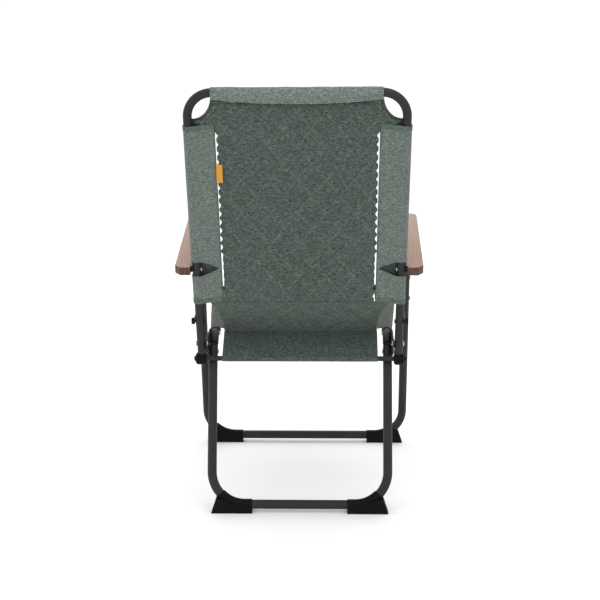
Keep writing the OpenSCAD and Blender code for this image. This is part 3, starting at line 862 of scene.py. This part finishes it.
def band_top(q):
    """The upper edge drops a little towards the outside."""
    return BAND_TOP + BAND_TOP_RISE * (1 - min(1.0, q / STRIP))


def band_low(q):
    """The lower edge drops with it."""
    return BAND_LOW + BAND_LOW_RISE * (1 - min(1.0, q / STRIP))


def make_band(side, label):
    patch = Patch()

    def upper(u, v):
        q = v * BAND_GIRTH
        return band_point(side, q, lerp(NOTCH_S + notch_half(q), band_top(q), u))[0]

    def lower(u, v):
        q = v * BAND_GIRTH
        return band_point(side, q, lerp(band_low(q), NOTCH_S - notch_half(q), u))[0]

    patch.grid(upper, 84, BAND_COLS)
    patch.grid(lower, 26, BAND_COLS)
    band = patch.cloth("back_band_" + label, band_cloth)
    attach(band, "back")
    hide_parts("back_sleeve_" + label)
    return band


def sewn_row(place, count=120):
    """Points and normals of a sewn line from place(share) -> (point, normal)."""
    return [place(i / count) for i in range(count + 1)]


BAND_ENDS = ((band_low, 1), (band_top, -1))


def make_band_hems(side, label):
    """The folded ends of a band, a layer over it."""
    patch = Patch()
    for edge, inward in BAND_ENDS:
        patch.grid(lambda u, v: band_point(
            side, v * BAND_GIRTH, edge(v * BAND_GIRTH) + inward * HEM_STRIP * u,
            (CLOTH + HEM_FOLD) / 2)[0], 4, BAND_COLS)
    hems = patch.cloth("back_band_hems_" + label, band_hem_cloth, HEM_FOLD)
    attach(hems, "back")
    return hems


def band_rows(side):
    """Stitching of a band: two rows in each hem, one along the seam and one on each side of the notch."""
    rows = []
    for inset in (4 * MM, 9 * MM):
        for edge, inward in BAND_ENDS:
            rows.append(sewn_row(lambda t: band_point(
                side, t * BAND_GIRTH, edge(t * BAND_GIRTH) + inward * inset, STITCH_LIFT + HEM_FOLD)))
    for s_from, s_to in ((BAND_LOW + 6 * MM, NOTCH_S - 2 * MM), (NOTCH_S + 2 * MM, BAND_TOP)):
        rows.append(sewn_row(lambda t: band_point(side, SEAM_INSET, lerp(s_from, s_to, t), STITCH_LIFT), 200))
    for sign in (1, -1):
        rows.append(sewn_row(lambda t: band_point(
            side, lerp(NOTCH_Q0 + 8 * MM, BAND_GIRTH, t),
            NOTCH_S + sign * (notch_half(lerp(NOTCH_Q0 + 8 * MM, BAND_GIRTH, t)) + 4 * MM), STITCH_LIFT)))
    return rows


# Front layer: plain cloth from the seam to the front of the tube
FRONT_SEAM_N = -2.6 * MM


def wing_top(x):
    """Upper edge of the front layer: level near the hem, then a concave quarter round the corner."""
    reach = (x - HEM_X) / CUT_X
    if reach <= 0:
        return CUT_LOW + CUT_S
    return CUT_LOW + CUT_S * (1 - math.sqrt(max(0.0, 1 - (1 - min(1.0, reach)) ** 2)))


def wing_point(side, x, s, lift=0.0):
    """The cloth runs straight from the seam to the front of the tube."""
    seam = back_x(s) - STRIP_W
    t = (x - seam) / (STRIP_W + TOUCH_D)
    n = lerp(FRONT_SEAM_N, -TOUCH_N, t)
    point = on_back(side * x, s, n - lift)
    return point + REARWARD * ripple(point, 18, 0.8 * MM), -REARWARD


def make_wing(side, label):
    patch = Patch()

    def surface(u, v):
        across = lerp(-STRIP_W - 1 * MM, TOUCH_D + 3 * MM, v)
        s = lerp(BAND_LOW, wing_top(back_x(BACK_LEN) + across), u)
        return wing_point(side, back_x(s) + across, s)[0]

    patch.grid(surface, 110, 26)
    wing = patch.cloth("back_front_layer_" + label, plain_cloth)
    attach(wing, "back")
    return wing


def corner_binding(side, label):
    """Binding tape round the concave corner."""
    path = []
    for i in range(33):
        x = HEM_X + CUT_X * (1 - math.cos(math.pi / 2 * i / 32))
        path.append(wing_point(side, x, wing_top(x))[0])
    tape = sweep("corner_binding_" + label, path, 2.6 * MM, 3.0 * MM, [REARWARD] * len(path), binding_tape)
    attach(tape, "back")
    return tape


for side, label in SIDES:
    band = make_band(side, label)
    wing = make_wing(side, label)
    seam_thread = stitches("back_band_stitching_" + label, band_rows(side), thread_light)
    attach(seam_thread, "back")
    tape = corner_binding(side, label)
    hems = make_band_hems(side, label)

# --- Top hem ------------------------------------------------------------------------

HEM_RISE = BACK_R + GAP + 1.2 * MM  # middle of the hem's cloth round the top bar
HEM_SAG = 10 * MM
HEM_DROP = 13 * MM  # from the bar down to the rear edge, at the ends
HEM_FRONT = 24 * MM  # from the bar down to the front edge
HEM_FLARE = 2.0 * MM


def hem_low(x):
    """Lower edge of the hem at the rear, which sags between its ends."""
    return BACK_LEN - HEM_DROP - HEM_SAG * (1 - abs(x / HEM_X) ** 2.2)


def hem_point(x, q, lift=0.0):
    """q from 0 at the rear edge, over the bar, to 1 at the front edge."""
    low = hem_low(x)
    rear = BACK_LEN - low
    girth = rear + math.pi * HEM_RISE + HEM_FRONT
    d = q * girth
    out = HEM_RISE + lift
    if d < rear:
        flare = HEM_FLARE * (1 - d / rear)
        point = on_back(x, low + d, out - flare * 0.5)
        normal = REARWARD
    elif d < rear + math.pi * HEM_RISE:
        a = (d - rear) / HEM_RISE
        point = on_back(x, BACK_LEN + out * math.sin(a), out * math.cos(a))
        normal = REARWARD * math.cos(a) + LEAN * math.sin(a)
    else:
        e = d - rear - math.pi * HEM_RISE
        point = on_back(x, BACK_LEN - e, -out + 0.20 * e)
        normal = -REARWARD
    return point + normal * ripple(point, 26, 0.9 * MM), normal


hem_patch = Patch()
hem_patch.grid(lambda u, v: hem_point(lerp(-HEM_X, HEM_X, v), u)[0], 40, 120)
top_hem = hem_patch.cloth("top_hem_cloth", hem_cloth)
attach(top_hem, "back")
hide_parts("top_hem")
hem_rows = [
    sewn_row(lambda t, inset=inset: hem_point(lerp(-HEM_X, HEM_X, t) * 0.995, inset, STITCH_LIFT), 200)
    for inset in (0.05, 0.12)
]
for end in (-1, 1):
    hem_rows.append(sewn_row(lambda t: hem_point(end * (HEM_X - 5 * MM), 0.02 + 0.9 * t, STITCH_LIFT)))
hem_thread = stitches("top_hem_stitching", hem_rows, thread_light)
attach(hem_thread, "back")

# --- Lower end of the back sling, and the flap down to the rod -----------------------

SEAM_POINT = Vector((0, *(on_seat(0, 5 * MM, LEG_R - 1.4 * MM).yz)))
SEAM_HALF = 187 * MM
LOWER_TOP_HALF = 209 * MM
LOWER_TOP = Vector((0, *(on_back(0, BAND_LOW + 2 * MM, -0.5 * MM).yz)))
LOWER_DOWN = SEAM_POINT - LOWER_TOP
LOWER_BOW = 3.0 * MM
LOWER_EDGE_STEPS = 30
ROD_R = 6 * MM
FLAP_WRAP = math.radians(300)  # how far the flap's loop goes round the rod
FLAP_HALF = SEAM_HALF


def lower_half(u):
    """Half width of the lower panel: concave from under the bands to the seam."""
    return SEAM_HALF - 3 * MM + (LOWER_TOP_HALF - SEAM_HALF + 3 * MM) * (1 - u) ** 2.0


def rear_normal(down):
    """Unit normal on the rear side of a cloth that runs along this direction."""
    normal = Vector((1, 0, 0)).cross(down).normalized()
    return -normal if normal.y < 0 else normal


LOWER_NORMAL = rear_normal(LOWER_DOWN)


def lower_point(x, u, lift=0.0):
    bow = LOWER_BOW * math.sin(math.pi * u)
    point = LOWER_TOP + LOWER_DOWN * u + Vector((x, 0, 0))
    s = u * LOWER_DOWN.length
    quilted = QUILT_DEPTH * quilt(x, BAND_LOW - s - BACK_QUILT_S) * min(1.0, u * 12, (1 - u) * 12)
    return point + LOWER_NORMAL * (lift - bow + quilted + ripple(point, 14, 1.2 * MM)), LOWER_NORMAL


def lower_surface(u, v):
    half = lower_half(u)
    return lower_point(lerp(-half, half, v), u)[0]


lower_patch = Patch().grid(lower_surface, 44, 150)
lower_way = LOWER_DOWN.normalized()
lower_cloth = woven(
    "lower_melange", GREEN, math.atan2(LOWER_DOWN.z, -LOWER_DOWN.y) - math.pi,
    sewn=(LOWER_TOP - lower_way * (BACK_QUILT_S + QUILT_H / 2 - BAND_LOW), lower_way)
)
lower_panel = lower_patch.cloth("lower_back_cloth", lower_cloth, 2.4 * MM)
lower_rows = [sewn_row(lambda t: lower_point(lerp(-SEAM_HALF, SEAM_HALF, t) * 0.98, 0.95, 1.5 * MM), 200)]
lower_thread = stitches("lower_back_stitching", lower_rows, thread_light)
lower_binding = []
for side, label in SIDES:
    shares = [i / LOWER_EDGE_STEPS for i in range(LOWER_EDGE_STEPS + 1)]
    edge = [lower_point(side * lower_half(u), u)[0] for u in shares]
    lower_binding.append(sweep(
        "lower_binding_" + label, edge, 4.6 * MM, 4.0 * MM, [LOWER_NORMAL] * len(edge), binding_tape))

FLAP_TOP = SEAM_POINT + Vector((0, 0.5 * MM, 0.5 * MM))
FLAP_LOOP = ROD_R + GAP + CLOTH / 2
FLAP_DOWN = ROD + Vector((0, 0, FLAP_LOOP)) - FLAP_TOP
FLAP_NORMAL = rear_normal(FLAP_DOWN)
# where the straight cloth meets the rod, and its length down to there
FLAP_END = ROD + FLAP_NORMAL * FLAP_LOOP


def flap_point(x, q, lift=0.0):
    """q from 0 at the seam to 1 on the rod, then round it to 2."""
    if q <= 1:
        point = FLAP_TOP.lerp(FLAP_END, q) + Vector((x, 0, 0))
        normal = FLAP_NORMAL
    else:
        start = math.atan2(FLAP_NORMAL.z, FLAP_NORMAL.y)
        a = start - (q - 1) * FLAP_WRAP
        normal = Vector((0, math.cos(a), math.sin(a)))
        point = ROD + normal * FLAP_LOOP + Vector((x, 0, 0))
    loose = math.sin(math.pi * min(1.0, q)) if q < 1 else 0.2
    return point + normal * (lift + ripple(point, 16, 1.0 * MM) * loose), normal


flap_patch = Patch()
flap_patch.grid(lambda u, v: flap_point(lerp(-FLAP_HALF, FLAP_HALF, v), u)[0], 30, 110)
flap_patch.grid(lambda u, v: flap_point(lerp(-FLAP_HALF, FLAP_HALF, v), 1 + u)[0], 22, 110)
flap = flap_patch.cloth("rear_flap_cloth", plain_cloth, 1.0 * MM)
flap_rows = [
    sewn_row(lambda t, q=q: flap_point(lerp(-FLAP_HALF, FLAP_HALF, t) * 0.99, q, 0.8 * MM), 200)
    for q in (0.70, 0.76)
]
flap_thread = stitches("rear_flap_stitching", flap_rows, thread_light)

for piece in (lower_panel, lower_thread, *lower_binding):
    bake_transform(piece)
for piece in (flap, flap_thread):
    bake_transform(piece)
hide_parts("lower_back_panel")
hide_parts("rear_flap")

# --- Seat bands and front hem ---------------------------------------------------------

RAIL_LOOP = LEG_R + GAP + CLOTH / 2
BAND_REAR_T = 29 * MM
BAND_FRONT_T = SEAT_LEN - 55 * MM
SEAT_STRIP = INNER_X - SEAT_SEAM_X
SEAT_WRAP = math.radians(290)
SEAT_GIRTH = SEAT_STRIP + RAIL_LOOP * SEAT_WRAP
PIVOT_SLOT = 13 * MM  # half length of the opening for the front pivot
REAR_RUN = 12 * MM  # how far back the rear edge runs towards the seam
SEAT_BAND_COLS = 40


def seat_band_point(side, q, t, lift=0.0):
    """q is the girth from the seam, over the rail and round under it."""
    if q < SEAT_STRIP:
        nx, nn = 0.0, 1.0
        x, n = lerp(SEAT_SEAM_X, rail_x(t), q / SEAT_STRIP), RAIL_LOOP + lift
    else:
        a = math.pi / 2 - (q - SEAT_STRIP) / RAIL_LOOP
        nx, nn = math.cos(a), math.sin(a)
        x, n = rail_x(t) + (RAIL_LOOP + lift) * nx, (RAIL_LOOP + lift) * nn
    point = on_seat(side * x, t, n)
    normal = (Vector((side * nx, 0, 0)) + nn * SEAT_UP).normalized()
    return point + normal * abs(ripple(point, 24, 0.8 * MM)), normal


def seat_band_rear(q):
    """The rear edge runs back a little towards the seam."""
    return BAND_REAR_T - REAR_RUN * (1 - min(1.0, q / (SEAT_STRIP + 8 * MM))) ** 1.5


def slot_half(q):
    """The opening at the front pivot starts on the rail's outer side and goes on round under it."""
    return PIVOT_SLOT if q > SEAT_STRIP + 0.55 * RAIL_LOOP else 0.0


def make_seat_band(side, label):
    patch = Patch()

    def rear_part(u, v):
        q = v * SEAT_GIRTH
        return seat_band_point(side, q, lerp(seat_band_rear(q), FRONT_PIVOT_T - slot_half(q), u))[0]

    def front_part(u, v):
        q = v * SEAT_GIRTH
        return seat_band_point(side, q, lerp(FRONT_PIVOT_T + slot_half(q), BAND_FRONT_T, u))[0]

    patch.grid(rear_part, 60, SEAT_BAND_COLS)
    patch.grid(front_part, 8, SEAT_BAND_COLS)
    band = patch.cloth("seat_band_" + label, seat_band_sheen_cloth)
    rows = [
        sewn_row(lambda v, inset=inset: seat_band_point(
            side, v * SEAT_GIRTH, seat_band_rear(v * SEAT_GIRTH) + inset, STITCH_LIFT))
        for inset in (3 * MM, 8 * MM)
    ]
    rows.append(sewn_row(lambda v: seat_band_point(
        side, SEAM_INSET, lerp(BAND_REAR_T, BAND_FRONT_T, v), STITCH_LIFT), 160))
    thread = stitches("seat_band_stitching_" + label, rows, thread_light)
    for piece in (band, thread):
        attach(piece, "seat")
    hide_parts("seat_sleeve_" + label)


for side, label in SIDES:
    make_seat_band(side, label)

FRONT_HALF = rail_x(SEAT_LEN) - 54 * MM
FRONT_STRIP = 22 * MM
FRONT_WRAP = math.radians(300)


def front_hem_point(x, q, lift=0.0):
    """Over the front bar and round under it, q from 0 to 1."""
    girth = FRONT_STRIP + RAIL_LOOP * FRONT_WRAP
    d = q * girth
    if d < FRONT_STRIP:
        point = on_seat(x, SEAT_LEN - FRONT_STRIP + d, RAIL_LOOP + lift)
        normal = SEAT_UP
    else:
        a = math.pi / 2 - (d - FRONT_STRIP) / RAIL_LOOP
        normal = SEAT_DIR * math.cos(a) + SEAT_UP * math.sin(a)
        point = on_seat(x, SEAT_LEN, 0) + normal * (RAIL_LOOP + lift)
    return point + normal * abs(ripple(point, 24, 0.9 * MM)), normal


front_patch = Patch().grid(lambda u, v: front_hem_point(lerp(-FRONT_HALF, FRONT_HALF, v), u)[0], 36, 100)
front_hem = front_patch.cloth("seat_front_hem_cloth", seat_band_sheen_cloth)
front_thread = stitches("seat_front_hem_stitching", [
    sewn_row(lambda t, q=q: front_hem_point(lerp(-FRONT_HALF, FRONT_HALF, t) * 0.99, q, STITCH_LIFT), 200)
    for q in (0.06, 0.13)
], thread_light)
for piece in (front_hem, front_thread):
    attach(piece, "seat")
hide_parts("seat_front_hem")

# --- Label tab ------------------------------------------------------------------------

tag_low, tag_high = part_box("label_tag")
TAG_S = back_local((tag_low + tag_high) / 2)[1]
TAG_X1 = back_x(TAG_S) - STRIP_W - 0.5 * MM
TAG_W = 14 * MM
TAG_X0 = TAG_X1 - TAG_W
TAG_HALF = 22 * MM


def tag_point(x, s):
    """The tab curls away from the panel at its free end."""
    free = (TAG_X1 - x) / (TAG_X1 - TAG_X0)
    return on_back(x, s - 1.5 * MM * free, 5.6 * MM + 1.6 * MM * free ** 2)


tag_patch = Patch().grid(lambda u, v: tag_point(
    lerp(TAG_X0, TAG_X1, v), lerp(TAG_S - TAG_HALF, TAG_S + TAG_HALF, u)), 24, 10)
tag = tag_patch.cloth("side_tab", label_cloth, 1.0 * MM)
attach(tag, "back")
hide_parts("label_tag")

# --- Armrests ---------------------------------------------------------------------------

ROUND_OVER = 2.6 * MM
SHARP = math.radians(35)  # edges sharper than this are rounded


def rounded_copy(node, name, width, segments, material):
    """A CAD solid's flat-sided shape with rounded edges, as a new piece."""
    source = frame["nodes"][node]
    obj = bpy.data.objects.new(name, source.data.copy())
    bpy.context.scene.collection.objects.link(obj)
    work = bmesh.new()
    work.from_mesh(obj.data)
    bmesh.ops.remove_doubles(work, verts=work.verts, dist=0.01 * MM)
    bmesh.ops.dissolve_limit(
        work, angle_limit=math.radians(1), verts=work.verts, edges=work.edges, delimit={"NORMAL"}
    )
    work.to_mesh(obj.data)
    work.free()
    modified(
        obj, "BEVEL", width=width, segments=segments, limit_method="ANGLE",
        angle_limit=SHARP, use_clamp_overlap=True, harden_normals=False
    )
    apply_modifiers(obj)
    obj.data.materials.clear()
    obj.data.materials.append(material)
    for polygon in obj.data.polygons:
        polygon.use_smooth = True
    return obj


for side, label in SIDES:
    node = "armrest_" + label
    board = rounded_copy(node, "armrest_board_" + label, ROUND_OVER, 4, wood)
    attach(board, node)
    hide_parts(node)

# --- CAD nodes that stay, with their finishes ---------------------------------------------

FINISHES = {
    steel_paint: (
        "seat_frame", "rear_leg_frame", "front_leg_frame", "back_frame", "rear_rod", "hinge_plates",
        "side_link_left", "side_link_right", "armrest_bracket_left", "armrest_bracket_right",
    ),
    plastic: (
        "seat_frame_plugs", "rear_leg_plugs", "front_leg_plugs", "back_hubs", "rod_cap_nuts",
        "back_pivot_washers", "front_pivot_spacers", "armrest_spacers", "back_link_bolts",
        "rear_foot_left", "rear_foot_right", "front_foot_left", "front_foot_right",
    ),
    bolt_metal: (
        "plate_screws", "back_pivot_bolts", "front_pivot_bolts", "rear_pivot_bolts",
        "front_link_rivets", "armrest_bolts", "bracket_pin_left", "bracket_pin_right",
        "bracket_screws_left", "bracket_screws_right",
    ),
}
for finish, names in FINISHES.items():
    for name in names:
        cad = frame["nodes"][name]
        cad.data.materials.clear()
        cad.data.materials.append(finish)

[[list(corner) for corner in box] for box in (cad_box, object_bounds())]
